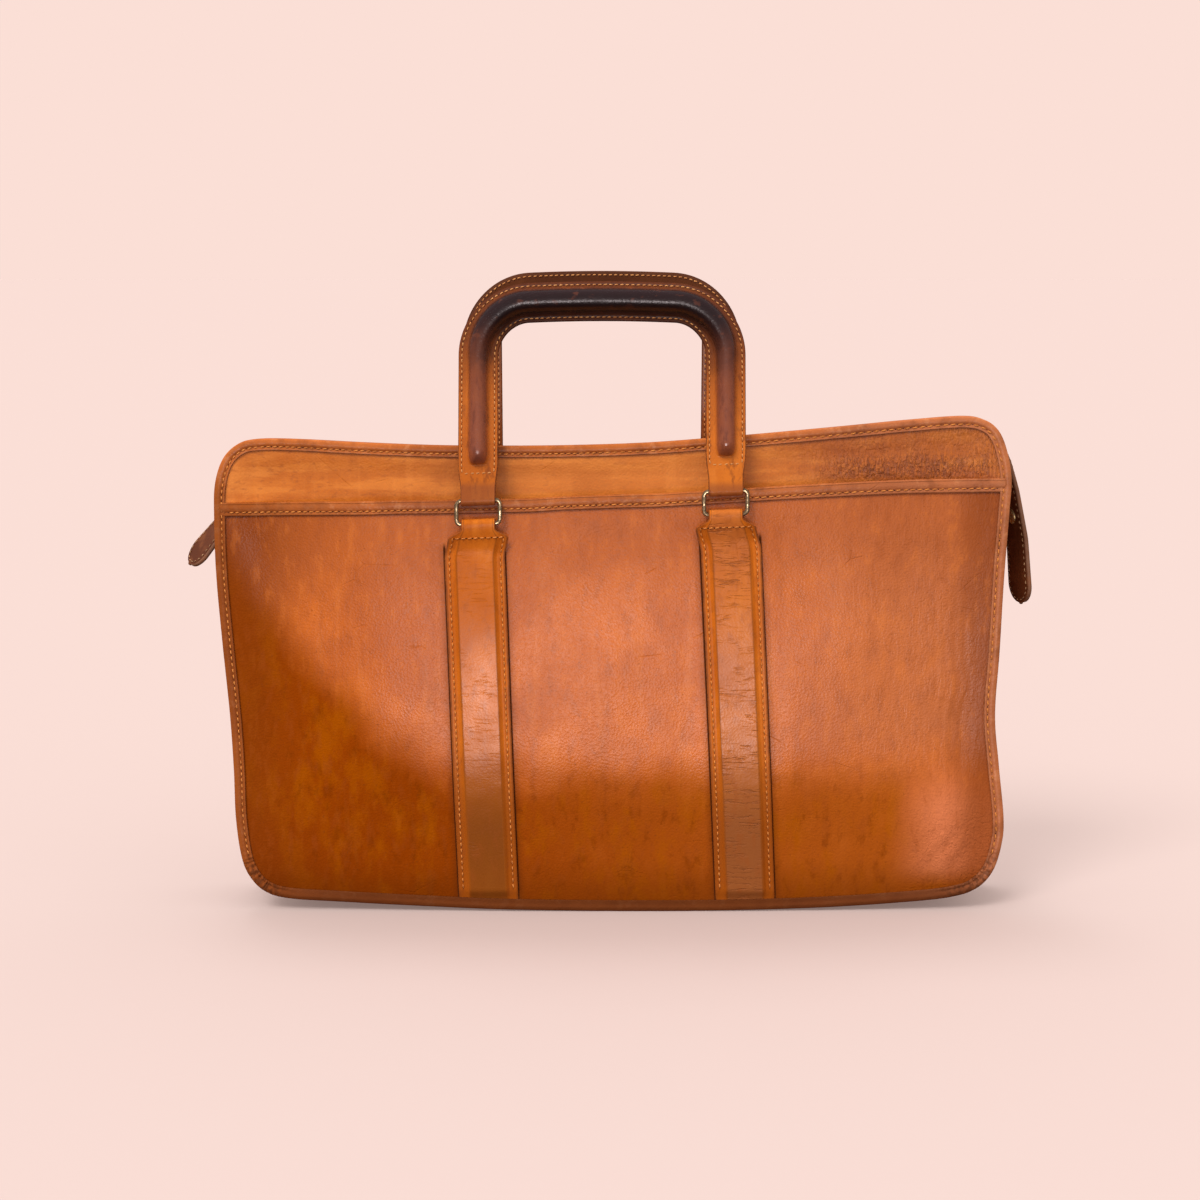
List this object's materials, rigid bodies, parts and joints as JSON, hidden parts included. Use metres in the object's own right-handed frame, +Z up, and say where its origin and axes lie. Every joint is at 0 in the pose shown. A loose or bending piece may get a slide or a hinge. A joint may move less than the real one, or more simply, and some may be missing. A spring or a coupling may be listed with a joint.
{
  "type": "leather briefcase",
  "caption": "Soft leather zip-top briefcase with an outside slip pocket, ring-hung carry handles, sewn straps, bound seams and hanging zip-end tabs.",
  "frame": {"origin": "on the floor under the middle of the bag, on the flat of the gusset's underside", "axes": "+X to the right as seen from the front, front face towards -Y, +Z up"},
  "size_m": [0.4708, 0.0858, 0.352],
  "materials": {
    "panel": "worn satin cowhide, warm tan",
    "pocket": "worn satin cowhide with darker mottling",
    "gusset": "soft satin cowhide, darker in the folds",
    "binding": "rubbed edge leather",
    "strap": "polished strap leather",
    "grip": "dark, hand-polished leather",
    "tab": "dark satin leather",
    "core": "twisted cord",
    "zip_tape": "woven cotton tape",
    "brass": "aged brass"
  },
  "bodies": {
    "bag": {"front_panel": "panel", "front_pocket": "pocket", "pocket_mouth_binding": "binding", "back_panel": "panel", "gusset": "gusset", "front_edge_binding": "binding", "back_edge_binding": "binding", "front_strap_left": "strap", "front_strap_right": "strap", "back_strap_left": "strap", "back_strap_right": "strap", "zip_end_left": "strap", "zip_end_right": "strap"},
    "slider": {"zip_slider": "brass", "zip_slider_bridge": "brass"},
    "pull": {"zip_pull": "brass"},
    "left_tab": {"zip_tab_left": "tab"},
    "right_tab": {"zip_tab_right": "tab"},
    "front_ring_left": {"front_ring_left": "brass"},
    "front_ring_right": {"front_ring_right": "brass"},
    "front_handle": {"front_handle_cover": "grip", "front_handle_backing": "strap", "front_handle_core": "core"},
    "front_zip_flap": {"front_zip_welt": "strap", "front_zip_tape": "zip_tape", "front_zip_chain": "brass"},
    "back_ring_left": {"back_ring_left": "brass"},
    "back_ring_right": {"back_ring_right": "brass"},
    "back_handle": {"back_handle_cover": "grip", "back_handle_backing": "strap", "back_handle_core": "core"},
    "back_zip_flap": {"back_zip_welt": "strap", "back_zip_tape": "zip_tape", "back_zip_chain": "brass"}
  },
  "joints": [
    {"name": "front_ring_left_hinge", "type": "hinge", "parent": "bag", "child": "front_ring_left", "pos_m": [-0.0723, -0.03786, 0.2166], "axis": [0.9993, 0, 0.0385], "range_deg": [0, 60]},
    {"name": "front_ring_right_hinge", "type": "hinge", "parent": "bag", "child": "front_ring_right", "pos_m": [0.0614, -0.03786, 0.22175], "axis": [0.9993, 0, 0.0385], "range_deg": [0, 75]},
    {"name": "front_handle_hinge", "type": "hinge", "parent": "front_ring_left", "child": "front_handle", "pos_m": [-0.0723, -0.03786, 0.2293], "axis": [0.9993, 0, 0.0385], "range_deg": [0, 110]},
    {"name": "back_ring_left_hinge", "type": "hinge", "parent": "bag", "child": "back_ring_left", "pos_m": [-0.0723, 0.03244, 0.2206], "axis": [-0.9993, 0, -0.0385], "range_deg": [0, 60]},
    {"name": "back_ring_right_hinge", "type": "hinge", "parent": "bag", "child": "back_ring_right", "pos_m": [0.0614, 0.03244, 0.22575], "axis": [-0.9993, 0, -0.0385], "range_deg": [0, 75]},
    {"name": "back_handle_hinge", "type": "hinge", "parent": "back_ring_left", "child": "back_handle", "pos_m": [-0.0723, 0.03244, 0.2333], "axis": [-0.9993, 0, -0.0385], "range_deg": [0, 110]},
    {"name": "front_zip_flap_hinge", "type": "hinge", "parent": "bag", "child": "front_zip_flap", "pos_m": [0, -0.0148, 0.255], "axis": [0.9993, 0, 0.0368], "range_deg": [0, 90]},
    {"name": "back_zip_flap_hinge", "type": "hinge", "parent": "bag", "child": "back_zip_flap", "pos_m": [0, 0.0148, 0.255], "axis": [-0.9993, 0, -0.0368], "range_deg": [0, 90]},
    {"name": "zip_slide", "type": "slide", "parent": "bag", "child": "slider", "axis": [-0.9993, 0, -0.0368], "range_m": [0, 0.363]},
    {"name": "zip_pull_hinge", "type": "hinge", "parent": "slider", "child": "pull", "pos_m": [0.18123, 0, 0.26568], "axis": [0, -1, 0], "range_deg": [0, 175]},
    {"name": "left_tab_hinge", "type": "hinge", "parent": "bag", "child": "left_tab", "pos_m": [-0.2042, 0, 0.2476], "axis": [0, 1, 0], "range_deg": [0, 75]},
    {"name": "right_tab_hinge", "type": "hinge", "parent": "bag", "child": "right_tab", "pos_m": [0.2044, 0, 0.2624], "axis": [0, -1, 0], "range_deg": [0, 75]}
  ],
  "couplings": [
    {"joint": "front_ring_right_hinge", "follows": "front_ring_left_hinge", "ratio": 1},
    {"joint": "back_ring_right_hinge", "follows": "back_ring_left_hinge", "ratio": 1}
  ]
}
